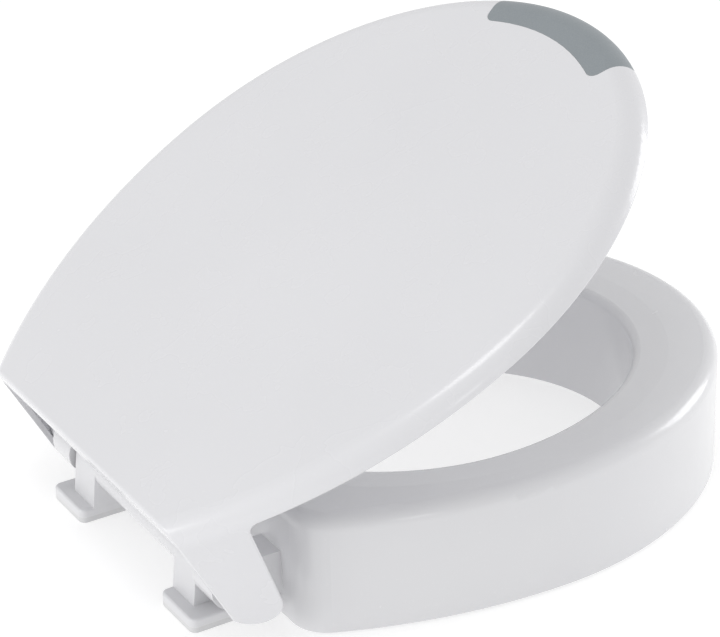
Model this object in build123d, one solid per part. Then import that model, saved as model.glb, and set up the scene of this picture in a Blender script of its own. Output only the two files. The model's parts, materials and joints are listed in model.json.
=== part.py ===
from build123d import *
import os
from math import asin, cos, degrees, hypot, radians, sin

# Raised toilet seat with a hinged lid.
# Millimetres, +Z up. The front of the seat is -Y and the hinge is at +Y.
# The origin is midway between the two fixing bolts, on the rim that the seat stands on.

# Hinge line, which the seat and the lid share
HINGE_Y = 17.2
HINGE_Z = 33.8
ROD_RADIUS = 4.0
ROD_HALF_LENGTH = 128.2
RUNNING_CLEARANCE = 0.05
LID_OPEN_ANGLE = 28.5

# Feet: a pad, a plate and a leaning upright on each side
BOLT_SPACING = 155.0
BOLT_HOLE_RADIUS = 4.5
FOOT_WIDTH = 43.0
FOOT_FRONT_Y = -11.0
FOOT_REAR_Y = 40.7
FOOT_TOP_Z = 10.1
PAD_THICKNESS = 4.4
FOOT_CORNER_RADIUS = 5.0
FOOT_EDGE_RADIUS = 1.8
UPRIGHT_INNER_X = 56.1
UPRIGHT_OUTER_X = 84.4
UPRIGHT_FRONT_Y = 6.5
UPRIGHT_REAR_Y = 31.8
BARREL_RADIUS = 11.5
CROSSBAR_WALL = 4.5
CROSSBAR_SPIGOT = 4.0
CROSSBAR_END_WALL = 6.0
SPIGOT_RADIUS = 8.0

# Seat ring: plan sizes
SEAT_HALF_WIDTH = 179.5
SEAT_WIDE_Y = -186.5
SEAT_FRONT_Y = -395.2
SEAT_REAR_HALF_WIDTH = 139.5
SEAT_REAR_Y = -16.6
SEAT_CORNER_RADIUS = 25.7
HOLE_HALF_WIDTH = 132.4
HOLE_WIDE_Y = -170.6
HOLE_FRONT_Y = -335.0
HOLE_REAR_HALF_WIDTH = 84.0
HOLE_REAR_Y = -61.0
HOLE_CORNER_RADIUS = 42.0
HOLE_DRAFT = 1.0

# Seat ring: heights and walls
SEAT_BOTTOM_Z = 1.5
SEAT_TOP_Z = 84.2
SEAT_ROLL_RADIUS = 9.8
DISH_WIDTH = 24.0
DISH_DEPTH = 1.5
HOLE_EDGE_RADIUS = 5.8
SEAT_FOOT_RADIUS = 2.0
SEAT_WALL = 3.6
CAVITY_TOP_Z = 78.0
CAVITY_OUTER_RADIUS = 6.0
CAVITY_INNER_RADIUS = 4.0
RIB_THICKNESS = 2.6
RIB_ANGLES = (25, 65, 115, 155, 205, 235, 270, 305, 335)
RIB_REACH = 320.0

# Base plate under the ring, its screws and its buffers
BASE_THICKNESS = 3.0
BASE_GAP = 0.2
BASE_TOP_Z = SEAT_BOTTOM_Z + BASE_THICKNESS
MID_HALF_WIDTH = 156.4
MID_FRONT_REACH = 179.0
MID_REAR_REACH = 148.2
MID_SQUARENESS = 0.10
SCREW_ANGLES = (8, 48, 132, 172, 215, 252, 288, 325)
SCREW_BOSS_RADIUS = 5.0
SCREW_PILOT_RADIUS = 1.6
SCREW_PILOT_DEPTH = 14.0
SCREW_SHANK_RADIUS = 1.55
SCREW_SHANK_LENGTH = 12.0
SCREW_HEAD_RADIUS = 3.5
SCREW_HEAD_DEPTH = 2.0
SCREW_SLOT_WIDTH = 1.0
BUFFER_ANGLES = {"front_left": 236, "front_right": 304, "rear_left": 120, "rear_right": 60}
BUFFER_LENGTH = 30.0
BUFFER_WIDTH = 14.0
BUFFER_STEM_RADIUS = 3.5

# Hinge lugs on the back of the ring, and the bushes that the lugs and the ears share
LUG_INNER_X = 87.5
LUG_OUTER_X = 112.0
LUG_RADIUS = 15.0
BUSH_RADIUS = 6.5
BUSH_FLANGE_RADIUS = 8.5
BUSH_FLANGE_THICKNESS = 1.2

# Lid: plan sizes
LID_HALF_WIDTH = 202.0
LID_WIDE_Y = -181.5
LID_FRONT_Y = -402.5
LID_REAR_HALF_WIDTH = 127.5
LID_REAR_Y = 31.1
LID_EXTENSION = 30.0

# Lid: heights, walls and ears
LID_RIM_Z = 97.8
LID_TOP_Z = 111.7
LID_ROLL_RADIUS = 16.0
LID_WALL = 3.5
LID_REAR_EDGE_RADIUS = 2.5
LID_RIM_RADIUS = 1.0
RIM_TOLERANCE = 0.8
EAR_INNER_X = 124.3
EAR_TIP_RADIUS = 15.7
EAR_FRONT_Y = -5.9
EAR_ROOT_RADIUS = 7.0
EAR_BOSS_INNER_X = 118.5
EAR_BOSS_RADIUS = 9.6
EAR_BOSS_WALL = 3.0
EAR_BUSH_INNER_X = 118.5
EAR_BUSH_OUTER_X = 128.4
LID_RIB_DEPTH = 6.0
LID_RIB_THICKNESS = 2.4
LID_RIB_LENGTH = 250.0
LID_RIB_XS = (-70.0, 0.0, 70.0)

# Soft grip let into the front edge of the lid
GRIP_HALF_WIDTH = 60.8
GRIP_SPLAY = 0.37
GRIP_CORNER_Y = -362.1
GRIP_REACH = 28.2
GRIP_THICKNESS = 2.4
GRIP_CORNER_RADIUS = 7.0
GRIP_BOTTOM_Z = 100.2
GRIP_GAP = 0.15

# Buffers under the lid, which rest on the seat when the lid is shut
LID_BUFFER_PLACES = {"front_left": 228, "front_right": 312, "rear_left": 140, "rear_right": 40}
LID_BUFFER_RADIUS = 7.0
LID_BUFFER_BOTTOM_Z = 84.6
LID_BUFFER_TOP_Z = 97.0
LID_BUFFER_STEM_RADIUS = 2.5
LID_BUFFER_STEM_LENGTH = 7.0
LID_POST_RADIUS = 5.5
LID_BUFFER_SPREAD = 1.03

# A length that is larger than the whole seat, for blocks that only cut
BEYOND = 1000.0


def solid_of(shape):
    """The one solid of a shape that should be a single piece."""
    solids = sorted(shape.solids(), key=lambda piece: piece.volume)
    return solids[-1]


def plan_face(half_width, wide_y, front_y, rear_half_width, rear_y, corner_radius=0.0):
    """Egg-shaped outline: half an ellipse in front, a long arc each side, a straight rear."""
    narrowing = half_width - rear_half_width
    side_length = rear_y - wide_y
    side_radius = (narrowing**2 + side_length**2) / (2 * narrowing)
    side_angle = degrees(asin(side_length / side_radius))
    centre_x = half_width - side_radius
    front = EllipticalCenterArc(
        (0, wide_y), half_width, wide_y - front_y, start_angle=180, arc_size=180
    )
    right = CenterArc((centre_x, wide_y), side_radius, 0, side_angle)
    left = CenterArc((-centre_x, wide_y), side_radius, 180 - side_angle, side_angle)
    rear = Line(right @ 1, left @ 0)
    face = make_face(front + right + rear + left)
    if corner_radius > 0:
        corners = face.vertices().group_by(Axis.Y)[-1]
        face = fillet(corners, corner_radius)
    return face


def seat_outline(inset=0.0):
    """The ring's outer outline, moved in by the inset."""
    return plan_face(
        SEAT_HALF_WIDTH - inset,
        SEAT_WIDE_Y,
        SEAT_FRONT_Y + inset,
        SEAT_REAR_HALF_WIDTH - inset,
        SEAT_REAR_Y - inset,
        SEAT_CORNER_RADIUS - inset,
    )


def hole_outline(grow=0.0):
    """The outline of the opening in the ring, made larger by grow."""
    return plan_face(
        HOLE_HALF_WIDTH + grow,
        HOLE_WIDE_Y,
        HOLE_FRONT_Y - grow,
        HOLE_REAR_HALF_WIDTH + grow,
        HOLE_REAR_Y + grow,
        HOLE_CORNER_RADIUS + grow,
    )


def lid_side_x(y, inset=0.0):
    """Half the lid's width at y, behind its widest place."""
    narrowing = LID_HALF_WIDTH - LID_REAR_HALF_WIDTH
    side_length = LID_REAR_Y - LID_WIDE_Y
    side_radius = (narrowing**2 + side_length**2) / (2 * narrowing) - inset
    reach = (side_radius**2 - (y - LID_WIDE_Y) ** 2) ** 0.5
    return LID_HALF_WIDTH - inset - side_radius + reach


def lid_outline(inset=0.0, extension=0.0):
    """The lid's outline, with its side arcs run on past its rear edge by the extension."""
    rear_y = LID_REAR_Y + extension
    half_width = LID_HALF_WIDTH - inset
    return plan_face(half_width, LID_WIDE_Y, LID_FRONT_Y + inset, lid_side_x(rear_y, inset), rear_y)


def between_heights(face, low, high):
    return extrude(Pos(0, 0, low) * face, high - low)


def hole_block(low, high, grow=0.0):
    """The space of the opening, which widens a little towards the top."""
    bottom = Pos(0, 0, low) * hole_outline(grow)
    top = Pos(0, 0, high) * hole_outline(grow + HOLE_DRAFT)
    return loft([bottom, top], ruled=True)


def along_x(radius, start, end, y=HINGE_Y, z=HINGE_Z):
    """A round bar along X."""
    middle = (start + end) / 2
    return Pos(middle, y, z) * Rot(0, 90, 0) * Cylinder(radius, abs(end - start))


def upright_bar(x, y, radius, low, high):
    """A round bar along Z."""
    return Pos(x, y, (low + high) / 2) * Cylinder(radius, high - low)


def ring_place(angle):
    """A point on the middle line of the ring, by angle about the widest place."""
    reach = MID_REAR_REACH if sin(radians(angle)) > 0 else MID_FRONT_REACH
    squareness = 1.0
    if sin(radians(angle)) > 0:
        squareness += MID_SQUARENESS * abs(sin(2 * radians(angle)))
    x = MID_HALF_WIDTH * cos(radians(angle)) * squareness
    y = SEAT_WIDE_Y + reach * sin(radians(angle)) * squareness
    return x, y


def open_lid(shape):
    """Swing a piece of the shut lid up to the angle that it is stored at."""
    to_hinge = Pos(0, HINGE_Y, HINGE_Z)
    return to_hinge * Rot(-LID_OPEN_ANGLE, 0, 0) * to_hinge.inverse() * shape


# ---------------------------------------------------------------- feet and hinge rod

def foot_face():
    face = Rectangle(FOOT_WIDTH, FOOT_REAR_Y - FOOT_FRONT_Y)
    face = fillet(face.vertices(), FOOT_CORNER_RADIUS)
    return Pos(0, (FOOT_REAR_Y + FOOT_FRONT_Y) / 2, 0) * face


def make_foot(side):
    """Plate and upright in one moulding, bored for the hinge rod and the fixing bolt."""
    centre_x = side * BOLT_SPACING / 2
    plate = Pos(centre_x, 0, 0) * between_heights(foot_face(), PAD_THICKNESS, FOOT_TOP_Z)
    plate = fillet(plate.faces().sort_by(Axis.Z)[-1].edges(), FOOT_EDGE_RADIUS)
    root_z = PAD_THICKNESS + FOOT_EDGE_RADIUS
    root = Line((UPRIGHT_FRONT_Y, root_z), (UPRIGHT_REAR_Y, root_z))
    barrel = CenterArc((HINGE_Y, HINGE_Z), BARREL_RADIUS, 0, 360)
    profile = make_hull([root, barrel])
    upright = extrude(Plane.YZ * profile, UPRIGHT_OUTER_X - UPRIGHT_INNER_X)
    upright = Pos(UPRIGHT_INNER_X if side > 0 else -UPRIGHT_OUTER_X, 0, 0) * upright
    foot = plate + upright
    foot -= along_x(ROD_RADIUS, side * (UPRIGHT_INNER_X - 1), side * (UPRIGHT_OUTER_X + 1))
    spigot_end = UPRIGHT_INNER_X + CROSSBAR_SPIGOT
    foot -= along_x(SPIGOT_RADIUS, side * (UPRIGHT_INNER_X - 1), side * spigot_end)
    foot -= upright_bar(centre_x, 0, BOLT_HOLE_RADIUS, 0, FOOT_TOP_Z + 1)
    return solid_of(foot)


def make_foot_pad(side):
    """Soft pad between the foot and the rim below it."""
    centre_x = side * BOLT_SPACING / 2
    pad = Pos(centre_x, 0, 0) * between_heights(foot_face(), 0, PAD_THICKNESS)
    pad = fillet(pad.faces().sort_by(Axis.Z)[0].edges(), 1.0)
    pad -= upright_bar(centre_x, 0, BOLT_HOLE_RADIUS, -1, PAD_THICKNESS + 1)
    return solid_of(pad)


def make_crossbar():
    """Tube that joins the two uprights and hides the hinge rod."""
    bar = along_x(BARREL_RADIUS, -UPRIGHT_INNER_X, UPRIGHT_INNER_X)
    spigot_end = UPRIGHT_INNER_X + CROSSBAR_SPIGOT
    bar += along_x(SPIGOT_RADIUS, -spigot_end, spigot_end)
    hollow_end = UPRIGHT_INNER_X - CROSSBAR_END_WALL
    bar -= along_x(BARREL_RADIUS - CROSSBAR_WALL, -hollow_end, hollow_end)
    bar -= along_x(ROD_RADIUS + RUNNING_CLEARANCE, -UPRIGHT_OUTER_X, UPRIGHT_OUTER_X)
    return solid_of(bar)


def make_hinge_rod():
    rod = along_x(ROD_RADIUS, -ROD_HALF_LENGTH, ROD_HALF_LENGTH)
    return chamfer(rod.edges().filter_by(GeomType.CIRCLE), 0.6)


def make_bush(inner_x, outer_x, side):
    """Flanged plain bearing on the hinge rod; its flange faces the middle."""
    bush = along_x(BUSH_RADIUS, side * inner_x, side * outer_x)
    bush += along_x(BUSH_FLANGE_RADIUS, side * (inner_x - BUSH_FLANGE_THICKNESS), side * inner_x)
    bush -= along_x(ROD_RADIUS + RUNNING_CLEARANCE, side * (inner_x - 5), side * (outer_x + 1))
    return solid_of(bush)


# ---------------------------------------------------------------- seat ring

def make_cavity():
    """The hollow inside the ring, open at the bottom."""
    low = SEAT_BOTTOM_Z - 1
    outer = between_heights(seat_outline(SEAT_WALL), low, CAVITY_TOP_Z)
    outer = fillet(outer.faces().sort_by(Axis.Z)[-1].edges(), CAVITY_OUTER_RADIUS)
    core = hole_block(low - 1, SEAT_TOP_Z, SEAT_WALL)
    return outer - core


def make_ribs(cavity):
    """Upright ribs across the hollow, from its roof down to the base plate."""
    ribs = None
    for angle in RIB_ANGLES:
        height = SEAT_TOP_Z - BASE_TOP_Z
        plate = Box(RIB_REACH, RIB_THICKNESS, height)
        plate = Pos(RIB_REACH / 2, 0, BASE_TOP_Z + height / 2) * plate
        plate = Pos(0, SEAT_WIDE_Y, 0) * Rot(0, 0, angle) * plate
        ribs = plate if ribs is None else ribs + plate
    return ribs & cavity


def make_lug(side):
    """Round barrel behind the ring, on a short thick arm."""
    width = LUG_OUTER_X - LUG_INNER_X
    middle_x = side * (LUG_INNER_X + LUG_OUTER_X) / 2
    arm_length = HINGE_Y - SEAT_REAR_Y + SEAT_WALL / 2
    arm = Pos(middle_x, HINGE_Y - arm_length / 2, HINGE_Z) * Box(width, arm_length, 2 * LUG_RADIUS)
    return arm + along_x(LUG_RADIUS, side * LUG_INNER_X, side * LUG_OUTER_X)


def make_seat_shell():
    """The ring: rounded outer edge, dished top and drafted opening, hollow underneath."""
    ring = between_heights(seat_outline(), SEAT_BOTTOM_Z, SEAT_TOP_Z)
    ring = fillet(ring.faces().sort_by(Axis.Z)[-1].edges(), SEAT_ROLL_RADIUS)
    ring = fillet(ring.faces().sort_by(Axis.Z)[0].edges(), SEAT_FOOT_RADIUS)
    ring -= hole_block(SEAT_BOTTOM_Z, SEAT_TOP_Z)
    top = ring.faces().sort_by(Axis.Z)[-1]
    ring = chamfer(top.inner_wires()[0].edges(), DISH_WIDTH, DISH_DEPTH, reference=top)
    lip = [
        edge
        for edge in ring.edges()
        if abs(edge.center().Z - (SEAT_TOP_Z - DISH_DEPTH)) < 0.3
        and edge.bounding_box().size.Z < 0.5
    ]
    ring = fillet(lip, HOLE_EDGE_RADIUS)
    cavity = make_cavity()
    ring -= cavity
    ring += make_ribs(cavity)
    for angle in SCREW_ANGLES:
        x, y = ring_place(angle)
        ring += upright_bar(x, y, SCREW_BOSS_RADIUS, BASE_TOP_Z, CAVITY_TOP_Z + 1)
        pilot_top = BASE_TOP_Z + SCREW_PILOT_DEPTH
        ring -= upright_bar(x, y, SCREW_PILOT_RADIUS, BASE_TOP_Z - 1, pilot_top)
    for side in (-1, 1):
        ring += make_lug(side)
        ring -= along_x(BUSH_RADIUS, side * (LUG_INNER_X - 1), side * (LUG_OUTER_X + 1))
    return solid_of(ring)


def make_base_plate():
    """Flat plate that closes the ring, let in between its walls."""
    face = seat_outline(SEAT_WALL + BASE_GAP) - hole_outline(SEAT_WALL + BASE_GAP)
    plate = between_heights(face, SEAT_BOTTOM_Z, BASE_TOP_Z)
    for angle in SCREW_ANGLES:
        x, y = ring_place(angle)
        head_top = SEAT_BOTTOM_Z + SCREW_HEAD_DEPTH
        plate -= upright_bar(x, y, SCREW_HEAD_RADIUS + BASE_GAP, 0, head_top)
        plate -= upright_bar(x, y, SCREW_SHANK_RADIUS + BASE_GAP, 0, BASE_TOP_Z + 1)
    for angle in BUFFER_ANGLES.values():
        x, y = ring_place(angle)
        plate -= upright_bar(x, y, BUFFER_STEM_RADIUS, 0, BASE_TOP_Z + 1)
    return solid_of(plate)


def make_base_screws():
    """Pan-head screws, slotted, driven up into the bosses of the ring."""
    screws = []
    for angle in SCREW_ANGLES:
        x, y = ring_place(angle)
        head_top = SEAT_BOTTOM_Z + SCREW_HEAD_DEPTH
        screw = upright_bar(x, y, SCREW_HEAD_RADIUS, SEAT_BOTTOM_Z, head_top)
        screw += upright_bar(x, y, SCREW_SHANK_RADIUS, head_top, head_top + SCREW_SHANK_LENGTH)
        slot = Box(2 * SCREW_HEAD_RADIUS, SCREW_SLOT_WIDTH, SCREW_HEAD_DEPTH)
        screw -= Pos(x, y, SEAT_BOTTOM_Z) * slot
        screws.append(solid_of(screw))
    return Compound(children=screws)


def make_seat_buffer(angle):
    """Oblong foot under the ring, with a stem pressed into the base plate."""
    x, y = ring_place(angle)
    pad = SlotOverall(BUFFER_LENGTH, BUFFER_WIDTH)
    buffer = extrude(pad, SEAT_BOTTOM_Z)
    buffer = chamfer(buffer.faces().sort_by(Axis.Z)[0].edges(), 0.5)
    buffer = Pos(x, y, 0) * Rot(0, 0, angle + 90) * buffer
    buffer += upright_bar(x, y, BUFFER_STEM_RADIUS, SEAT_BOTTOM_Z, BASE_TOP_Z)
    return solid_of(buffer)


# ---------------------------------------------------------------- lid

def lid_block(inset, low):
    """The lid's outer form, or the same form moved in, from a low plane to its rolled top."""
    face = lid_outline(inset, LID_EXTENSION)
    block = between_heights(face, low, LID_TOP_Z - inset)
    top = block.faces().sort_by(Axis.Z)[-1]
    rolled = [edge for edge in top.edges() if edge.center().Y < LID_REAR_Y]
    block = fillet(rolled, LID_ROLL_RADIUS - inset)
    rear = LID_REAR_Y - inset
    keep = Pos(0, rear - BEYOND / 2, 0) * Box(BEYOND, BEYOND, BEYOND)
    return block & keep


def ear_profile():
    """Side view of an ear: straight down at the rear, sloping in front, round at the tip."""
    tip = CenterArc((HINGE_Y, HINGE_Z), EAR_TIP_RADIUS, 0, 360)
    root_z = LID_RIM_Z - EAR_ROOT_RADIUS
    root = Line((EAR_FRONT_Y, root_z), (LID_REAR_Y, root_z))
    face = make_hull([tip, root])
    width = LID_REAR_Y - EAR_FRONT_Y
    top = Pos(EAR_FRONT_Y + width / 2, LID_RIM_Z) * Rectangle(width, 2 * EAR_ROOT_RADIUS)
    web_width = 2 * EAR_ROOT_RADIUS
    web_y = EAR_FRONT_Y - EAR_ROOT_RADIUS
    web = Pos(web_y, LID_RIM_Z) * Rectangle(web_width, web_width)
    web -= Pos(web_y, root_z) * Circle(EAR_ROOT_RADIUS)
    web -= Pos(web_y - EAR_ROOT_RADIUS, root_z) * Rectangle(web_width, web_width)
    return face + top + web


def make_ears_region():
    """Everything that is kept of the side walls below the lid's rim."""
    region = None
    for side in (-1, 1):
        ear = extrude(Plane.YZ * ear_profile(), LID_HALF_WIDTH)
        ear = Pos(EAR_INNER_X if side > 0 else -EAR_INNER_X - LID_HALF_WIDTH, 0, 0) * ear
        region = ear if region is None else region + ear
    return region


def grip_plan(gap=0.0):
    """Plan of the grip: a band along the front edge, splayed, with rounded inner corners."""
    corners = []
    for y in (LID_FRONT_Y - 1, LID_WIDE_Y - GRIP_CORNER_RADIUS):
        half_width = GRIP_HALF_WIDTH + gap + (GRIP_CORNER_Y - y) * GRIP_SPLAY
        corners.append((half_width, y))
    corners += [(-x, y) for x, y in reversed(corners)]
    band = make_face(Polyline(*corners, close=True))
    band -= lid_outline(GRIP_REACH + gap)
    band = band.faces().sort_by(Axis.Y)[0]
    corners = band.vertices().group_by(Axis.Y)[-1]
    return fillet(corners, GRIP_CORNER_RADIUS)


def grip_block(gap=0.0):
    """The grip's thin layer on the lid's outer surface."""
    layer = lid_block(0, 0) - lid_block(GRIP_THICKNESS + gap, -1)
    column = between_heights(grip_plan(gap), GRIP_BOTTOM_Z - gap, LID_TOP_Z + 1)
    return solid_of(layer & column)


def lid_buffer_place(angle):
    """A point over the seat's crest, in the same way round as ring_place."""
    x, y = ring_place(angle)
    return x * LID_BUFFER_SPREAD, SEAT_WIDE_Y + (y - SEAT_WIDE_Y) * LID_BUFFER_SPREAD


def lid_body():
    """The lid before it is hollowed: roof, rim and ears with all their outer edges rounded."""
    low = HINGE_Z - EAR_TIP_RADIUS - 2
    block = lid_block(0, low)
    rear_edges = block.faces().sort_by(Axis.Y)[-1].edges()
    crease = [edge for edge in rear_edges if edge.bounding_box().max.Z > LID_RIM_Z]
    block = fillet(crease, LID_REAR_EDGE_RADIUS)
    above_rim = Pos(0, 0, LID_RIM_Z + BEYOND / 2) * Box(BEYOND, BEYOND, BEYOND)
    return block & (above_rim + make_ears_region())


def on_outer_side(point):
    """Whether a point low on the lid lies on its outer side and not on its inner one."""
    if point.Y < LID_WIDE_Y:
        forward = (LID_WIDE_Y - point.Y) / (LID_WIDE_Y - LID_FRONT_Y)
        depth = (1 - hypot(point.X / LID_HALF_WIDTH, forward)) * LID_HALF_WIDTH
    else:
        depth = lid_side_x(point.Y) - abs(point.X)
    return abs(depth) < RIM_TOLERANCE


def round_rim(shell):
    """Round the outer edge of the lid's rim and of its ears."""
    chosen = []
    for edge in shell.edges():
        low = edge.bounding_box().max.Z < LID_RIM_Z + RIM_TOLERANCE
        if low and all(on_outer_side(edge.position_at(part)) for part in (0.25, 0.5, 0.75)):
            chosen.append(edge)
    return fillet(chosen, LID_RIM_RADIUS)


def make_lid_shell():
    """Thin moulded lid with a rolled edge; its side walls run down as two ears at the hinge."""
    low = HINGE_Z - EAR_TIP_RADIUS - 2
    shell = round_rim(solid_of(lid_body() - lid_block(LID_WALL, low - 5)))
    roof_z = LID_TOP_Z - LID_WALL
    inside = lid_block(EAR_BOSS_WALL, low - 5)
    for side in (-1, 1):
        boss = along_x(EAR_BOSS_RADIUS, side * EAR_BOSS_INNER_X, side * LID_HALF_WIDTH)
        shell += boss & inside
        shell -= along_x(BUSH_RADIUS, side * (EAR_BUSH_INNER_X - 1), side * EAR_BUSH_OUTER_X)
    for x in LID_RIB_XS:
        rib = Box(LID_RIB_THICKNESS, LID_RIB_LENGTH, LID_RIB_DEPTH + 1)
        shell += Pos(x, LID_WIDE_Y, roof_z - LID_RIB_DEPTH / 2) * rib
    for angle in LID_BUFFER_PLACES.values():
        x, y = lid_buffer_place(angle)
        shell += upright_bar(x, y, LID_POST_RADIUS, LID_BUFFER_TOP_Z, roof_z + 1)
        stem_top = LID_BUFFER_TOP_Z + LID_BUFFER_STEM_LENGTH
        shell -= upright_bar(x, y, LID_BUFFER_STEM_RADIUS, LID_BUFFER_TOP_Z - 1, stem_top)
    shell -= grip_block(GRIP_GAP)
    return solid_of(shell)


def make_lid_buffer(angle):
    """Soft button pressed up into a post under the lid."""
    x, y = lid_buffer_place(angle)
    button = upright_bar(x, y, LID_BUFFER_RADIUS, LID_BUFFER_BOTTOM_Z, LID_BUFFER_TOP_Z)
    button = fillet(button.faces().sort_by(Axis.Z)[0].edges(), 1.5)
    stem_top = LID_BUFFER_TOP_Z + LID_BUFFER_STEM_LENGTH - 0.5
    button += upright_bar(x, y, LID_BUFFER_STEM_RADIUS, LID_BUFFER_TOP_Z, stem_top)
    return solid_of(button)


def make_all_parts():
    """Every sub-part by its node name, with the lid swung open."""
    parts = {}
    sides = {"left": -1, "right": 1}
    for name, side in sides.items():
        parts[f"foot_{name}"] = make_foot(side)
        parts[f"foot_pad_{name}"] = make_foot_pad(side)
        parts[f"seat_bush_{name}"] = make_bush(LUG_INNER_X, LUG_OUTER_X, side)
        parts[f"lid_bush_{name}"] = open_lid(make_bush(EAR_BUSH_INNER_X, EAR_BUSH_OUTER_X, side))
    parts["crossbar"] = make_crossbar()
    parts["hinge_rod"] = make_hinge_rod()
    parts["seat_shell"] = make_seat_shell()
    parts["seat_base_plate"] = make_base_plate()
    parts["seat_base_screws"] = make_base_screws()
    for name, angle in BUFFER_ANGLES.items():
        parts[f"seat_buffer_{name}"] = make_seat_buffer(angle)
    parts["lid_shell"] = open_lid(make_lid_shell())
    parts["lid_grip"] = open_lid(grip_block())
    for name, angle in LID_BUFFER_PLACES.items():
        parts[f"lid_buffer_{name}"] = open_lid(make_lid_buffer(angle))
    return parts


os.makedirs("parts", exist_ok=True)
for node, shape in make_all_parts().items():
    export_step(shape, f"parts/{node}.step")
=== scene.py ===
"""Raised toilet seat: camera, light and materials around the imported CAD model."""

import json
import math

import bpy
from mathutils import Matrix, Vector

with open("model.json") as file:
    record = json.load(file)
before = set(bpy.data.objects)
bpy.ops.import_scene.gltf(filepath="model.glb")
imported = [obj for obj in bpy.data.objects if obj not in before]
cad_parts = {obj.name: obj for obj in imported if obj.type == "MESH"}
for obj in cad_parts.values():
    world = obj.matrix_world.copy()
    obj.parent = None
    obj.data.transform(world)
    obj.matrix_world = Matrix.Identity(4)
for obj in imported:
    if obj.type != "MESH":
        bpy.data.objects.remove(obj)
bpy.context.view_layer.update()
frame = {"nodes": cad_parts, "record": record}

# Camera: what it looks at, where it stands from there, its roll and its lens
CAMERA_TARGET = Vector((0.10852, -0.20582, 0.060))
CAMERA_DISTANCE = 2.03693
CAMERA_AZIMUTH = math.radians(239.74)
CAMERA_ELEVATION = math.radians(27.45)
CAMERA_ROLL = math.radians(-1.43)
CAMERA_LENS = 145.30
SENSOR_WIDTH = 36.0
CAMERA_CLIP_END = 20.0

# Light: a white room, low soft lamps before, behind and beside the seat, and a weak one overhead
ROOM_STRENGTH = 0.76
LAMP_AIM = Vector((0.0, -0.17, 0.08))
LAMPS = (
    # Name, place, side length in metres and power in watts
    ("lamp_front", Vector((-0.3, -2.7, 0.8)), 1.2, 18.0),
    ("lamp_rear", Vector((0.2, 2.7, 0.9)), 1.2, 20.0),
    ("lamp_top", Vector((-0.5, 0.6, 2.5)), 0.7, 9.0),
    ("lamp_side", Vector((-2.6, 0.0, 0.6)), 0.35, 1.6),
)
FLOOR_HALF_SIZE = 6.0
FLOOR_ROUGHNESS = 0.9
WHITE = (1.0, 1.0, 1.0, 1.0)
FLOOR_GLOW = 0.54

# Surface finish, in metres where it is a length
EDGE_RADIUS = 0.0008
EDGE_RUB = 0.08
PLASTIC_IOR = 1.49
COAT_ROUGHNESS = 0.12
SHEEN = 0.15
SHEEN_ROUGHNESS = 0.5
SKIN_RIPPLE_DEPTH = 0.00004
DRAWN_LINE_DEPTH = 0.00001


def add_camera():
    flat = math.cos(CAMERA_ELEVATION)
    away = Vector((math.sin(CAMERA_AZIMUTH) * flat, -math.cos(CAMERA_AZIMUTH) * flat, 0))
    away.z = math.sin(CAMERA_ELEVATION)
    place = CAMERA_TARGET + CAMERA_DISTANCE * away
    data = bpy.data.cameras.new("camera")
    data.lens = CAMERA_LENS
    data.sensor_width = SENSOR_WIDTH
    data.clip_end = CAMERA_CLIP_END
    camera = bpy.data.objects.new("camera", data)
    bpy.context.scene.collection.objects.link(camera)
    right = Vector((0, 0, 1)).cross(away).normalized()
    up = away.cross(right)
    turned_right = right * math.cos(CAMERA_ROLL) + up * math.sin(CAMERA_ROLL)
    turned_up = up * math.cos(CAMERA_ROLL) - right * math.sin(CAMERA_ROLL)
    rotation = Matrix((turned_right, turned_up, away)).transposed()
    camera.matrix_world = Matrix.Translation(place) @ rotation.to_4x4()
    bpy.context.scene.camera = camera


def add_lamp(name, place, size, power):
    data = bpy.data.lights.new(name, "AREA")
    data.shape = "SQUARE"
    data.size = size
    data.energy = power
    lamp = bpy.data.objects.new(name, data)
    lamp.location = place
    lamp.rotation_euler = (LAMP_AIM - place).to_track_quat("-Z", "Y").to_euler()
    bpy.context.scene.collection.objects.link(lamp)


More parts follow.
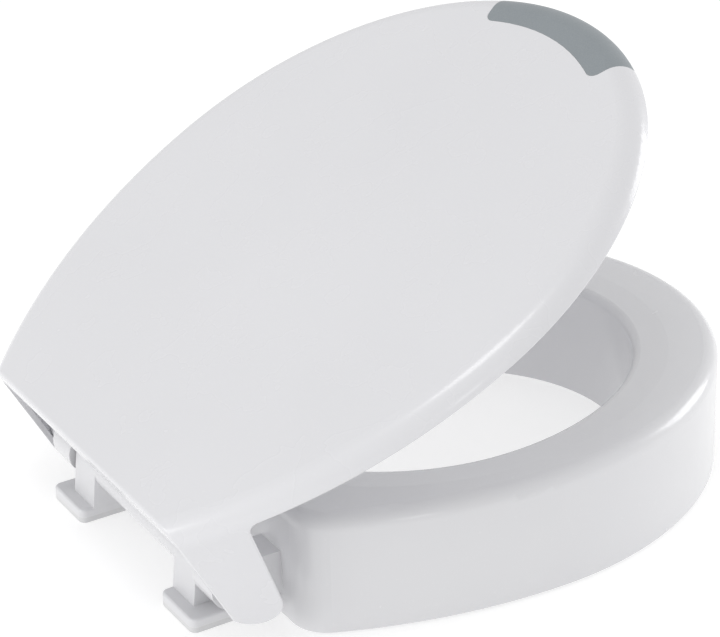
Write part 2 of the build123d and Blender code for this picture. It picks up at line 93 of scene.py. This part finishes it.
class Graph:
    """A material's node tree, with short ways to add the nodes that this scene uses."""

    def __init__(self, name):
        self.material = bpy.data.materials.new(name)
        self.material.use_nodes = True
        self.tree = self.material.node_tree
        self.shader = self.tree.nodes["Principled BSDF"]
        self.coordinates = self.add("ShaderNodeTexCoord").outputs["Object"]

    def add(self, kind):
        return self.tree.nodes.new(kind)

    def link(self, source, target):
        self.tree.links.new(source, target)

    def noise(self, scale, detail=2.0, stretch=(1, 1, 1)):
        """Noise in the piece's own space; scale is in features per metre."""
        mapping = self.add("ShaderNodeMapping")
        mapping.inputs["Scale"].default_value = stretch
        self.link(self.coordinates, mapping.inputs["Vector"])
        texture = self.add("ShaderNodeTexNoise")
        texture.inputs["Scale"].default_value = scale
        texture.inputs["Detail"].default_value = detail
        self.link(mapping.outputs["Vector"], texture.inputs["Vector"])
        return texture.outputs["Fac"]

    def spread(self, value, low, high, start=0.3, end=0.7):
        """A noise value between start and end, turned into a number between low and high."""
        node = self.add("ShaderNodeMapRange")
        node.inputs["From Min"].default_value = start
        node.inputs["From Max"].default_value = end
        node.inputs["To Min"].default_value = low
        node.inputs["To Max"].default_value = high
        self.link(value, node.inputs["Value"])
        return node.outputs["Result"]

    def mix(self, factor, first, second):
        """A colour between two colours; each is a fixed colour or another node's output."""
        node = self.add("ShaderNodeMix")
        node.data_type = "RGBA"
        self.link(factor, node.inputs["Factor"])
        for socket, colour in ((node.inputs[6], first), (node.inputs[7], second)):
            if isinstance(colour, tuple):
                socket.default_value = (*colour, 1.0)
            else:
                self.link(colour, socket)
        return node.outputs[2]

    def sum(self, first, second):
        node = self.add("ShaderNodeMath")
        node.operation = "ADD"
        self.link(first, node.inputs[0])
        self.link(second, node.inputs[1])
        return node.outputs["Value"]

    def edge(self, radius):
        """0 on flat stretches, rising where an outer or inner edge is sharper than the radius."""
        bevel = self.add("ShaderNodeBevel")
        bevel.samples = 4
        bevel.inputs["Radius"].default_value = radius
        geometry = self.add("ShaderNodeNewGeometry")
        dot = self.add("ShaderNodeVectorMath")
        dot.operation = "DOT_PRODUCT"
        self.link(bevel.outputs["Normal"], dot.inputs[0])
        self.link(geometry.outputs["Normal"], dot.inputs[1])
        return self.spread(dot.outputs["Value"], 1.0, 0.0, 0.80, 0.99)

    def bump(self, layers):
        """Bump from layers of (height value, depth in metres), one on top of the other."""
        below = None
        for height, depth in layers:
            node = self.add("ShaderNodeBump")
            node.inputs["Strength"].default_value = 1.0
            node.inputs["Distance"].default_value = depth
            self.link(height, node.inputs["Height"])
            if below is not None:
                self.link(below, node.inputs["Normal"])
            below = node.outputs["Normal"]
        self.link(below, self.shader.inputs["Normal"])


def moulded(name, colour, tint, speck_and_edge_highlight, roughness, grain_scale, grain_depth, ripple_depth, coat=0.0):
    """Moulded plastic: faint cloudy tint, fine grain, slow ripple, edges a little rougher, and a
    lighter colour painted along the edges, partly a painted highlight and partly rub wear.
    """
    graph = Graph(name)
    clouds = graph.spread(graph.noise(7.0, 3.0), 0.0, 1.0)
    body = graph.mix(clouds, colour, tint)
    edge = graph.edge(EDGE_RADIUS)
    specks = graph.spread(graph.noise(420.0, 3.0), 0.0, 0.35, 0.62, 0.80)
    body = graph.mix(specks, body, speck_and_edge_highlight)
    handled = graph.noise(24.0, 3.0)
    rough = graph.spread(handled, roughness * 0.9, roughness * 1.15)
    rough = graph.sum(rough, graph.spread(edge, 0.0, EDGE_RUB, 0.0, 1.0))
    # The lighter colour along the edges is a painted highlight, partly also rub wear.
    graph.link(graph.mix(edge, body, speck_and_edge_highlight), graph.shader.inputs["Base Color"])
    graph.link(rough, graph.shader.inputs["Roughness"])
    graph.shader.inputs["Coat Weight"].default_value = coat
    graph.shader.inputs["Coat Roughness"].default_value = COAT_ROUGHNESS
    graph.shader.inputs["IOR"].default_value = PLASTIC_IOR
    graph.bump(((graph.noise(28.0, 1.0), ripple_depth), (graph.noise(grain_scale, 3.0), grain_depth)))
    return graph.material


def elastomer(name, colour, tint, speck_and_edge_highlight, roughness, grain_scale, grain_depth):
    """Soft-touch rubber: a fine stippled skin, cloudy tone, sheen, and a lighter colour painted along
    the edges, partly a painted highlight and partly polish wear.
    """
    graph = Graph(name)
    clouds = graph.spread(graph.noise(18.0, 4.0), 0.0, 1.0)
    stipple = graph.noise(grain_scale, 2.0)
    body = graph.mix(clouds, colour, tint)
    body = graph.mix(graph.spread(stipple, 0.0, 0.5), body, speck_and_edge_highlight)
    edge = graph.edge(EDGE_RADIUS)
    # The lighter colour along the edges is a painted highlight, partly also polish wear.
    graph.link(graph.mix(edge, body, speck_and_edge_highlight), graph.shader.inputs["Base Color"])
    rough = graph.spread(clouds, roughness, roughness + 0.10, 0.0, 1.0)
    graph.link(rough, graph.shader.inputs["Roughness"])
    graph.shader.inputs["Sheen Weight"].default_value = SHEEN
    graph.shader.inputs["Sheen Roughness"].default_value = SHEEN_ROUGHNESS
    graph.bump(((graph.noise(45.0, 2.0), SKIN_RIPPLE_DEPTH), (stipple, grain_depth)))
    return graph.material


def steel(name, colour, tint, stretch, roughness):
    """Drawn stainless steel: fine lines along the draw, cloudy tone, and a satin shine."""
    graph = Graph(name)
    lines = graph.noise(900.0, 3.0, stretch)
    clouds = graph.spread(graph.noise(30.0, 3.0), 0.0, 1.0)
    body = graph.mix(clouds, colour, tint)
    body = graph.mix(graph.spread(lines, 0.0, 0.5), body, tint)
    graph.link(body, graph.shader.inputs["Base Color"])
    graph.shader.inputs["Metallic"].default_value = 1.0
    graph.link(graph.spread(lines, roughness, roughness + 0.15), graph.shader.inputs["Roughness"])
    graph.bump(((lines, DRAWN_LINE_DEPTH),))
    return graph.material


def make_materials():
    """One finished material for each of the record's slots."""
    return {
        "seat_white": moulded(
            "seat_white", (0.70, 0.70, 0.715), (0.68, 0.68, 0.70), (0.76, 0.76, 0.77),
            roughness=0.24, grain_scale=1500.0, grain_depth=0.000012, ripple_depth=0.00008, coat=0.35,
        ),
        "lid_white": moulded(
            "lid_white", (0.70, 0.70, 0.72), (0.685, 0.685, 0.705), (0.76, 0.76, 0.77),
            roughness=0.26, grain_scale=1500.0, grain_depth=0.000012, ripple_depth=0.00007, coat=0.30,
        ),
        "hinge_plastic": moulded(
            "hinge_plastic", (0.70, 0.70, 0.715), (0.68, 0.68, 0.70), (0.76, 0.76, 0.77),
            roughness=0.34, grain_scale=1100.0, grain_depth=0.000025, ripple_depth=0.00005, coat=0.15,
        ),
        "base_plastic": moulded(
            "base_plastic", (0.66, 0.66, 0.67), (0.63, 0.63, 0.64), (0.70, 0.70, 0.70),
            roughness=0.55, grain_scale=700.0, grain_depth=0.00006, ripple_depth=0.00004,
        ),
        "bush_nylon": moulded(
            "bush_nylon", (0.60, 0.59, 0.54), (0.56, 0.55, 0.50), (0.66, 0.65, 0.61),
            roughness=0.42, grain_scale=900.0, grain_depth=0.00002, ripple_depth=0.00002,
        ),
        "pad_elastomer": elastomer(
            "pad_elastomer", (0.66, 0.66, 0.67), (0.61, 0.61, 0.62), (0.70, 0.70, 0.70),
            roughness=0.62, grain_scale=900.0, grain_depth=0.00005,
        ),
        "buffer_rubber": elastomer(
            "buffer_rubber", (0.62, 0.62, 0.62), (0.57, 0.57, 0.57), (0.67, 0.67, 0.67),
            roughness=0.66, grain_scale=900.0, grain_depth=0.00005,
        ),
        "grip_grey": elastomer(
            "grip_grey", (0.235, 0.262, 0.280), (0.215, 0.240, 0.258), (0.275, 0.302, 0.320),
            roughness=0.50, grain_scale=1000.0, grain_depth=0.00005,
        ),
        "rod_steel": steel(
            "rod_steel", (0.58, 0.58, 0.59), (0.50, 0.50, 0.51),
            stretch=(0.05, 1.0, 1.0), roughness=0.24,
        ),
        "screw_steel": steel(
            "screw_steel", (0.55, 0.55, 0.56), (0.46, 0.46, 0.47),
            stretch=(1.0, 1.0, 0.3), roughness=0.30,
        ),
    }


def paint_nodes(materials):
    """Give every CAD node the finished material of its slot."""
    for entry in frame["record"]["subparts"]:
        node = frame["nodes"][entry["node"]]
        for holder in node.material_slots:
            holder.material = materials[entry["material_slot"]]


def add_floor():
    """A pale, softly lit table top."""
    half = FLOOR_HALF_SIZE
    corners = [(-half, -half, 0), (half, -half, 0), (half, half, 0), (-half, half, 0)]
    mesh = bpy.data.meshes.new("floor")
    mesh.from_pydata(corners, [], [(0, 1, 2, 3)])
    graph = Graph("floor")
    clouds = graph.spread(graph.noise(1.5, 2.0), 0.0, 1.0)
    body = graph.mix(clouds, (0.57, 0.57, 0.57), (0.55, 0.55, 0.55))
    graph.link(body, graph.shader.inputs["Base Color"])
    graph.shader.inputs["Roughness"].default_value = FLOOR_ROUGHNESS
    graph.shader.inputs["Specular IOR Level"].default_value = 0.0
    graph.shader.inputs["Emission Color"].default_value = WHITE
    graph.shader.inputs["Emission Strength"].default_value = FLOOR_GLOW
    mesh.materials.append(graph.material)
    floor = bpy.data.objects.new("floor", mesh)
    bpy.context.scene.collection.objects.link(floor)


def light_room():
    world = bpy.data.worlds.new("studio")
    world.use_nodes = True
    background = world.node_tree.nodes["Background"]
    background.inputs["Color"].default_value = WHITE
    background.inputs["Strength"].default_value = ROOM_STRENGTH
    bpy.context.scene.world = world
    for lamp in LAMPS:
        add_lamp(*lamp)


bpy.context.scene.view_settings.view_transform = "Standard"
add_camera()
light_room()
paint_nodes(make_materials())
add_floor()
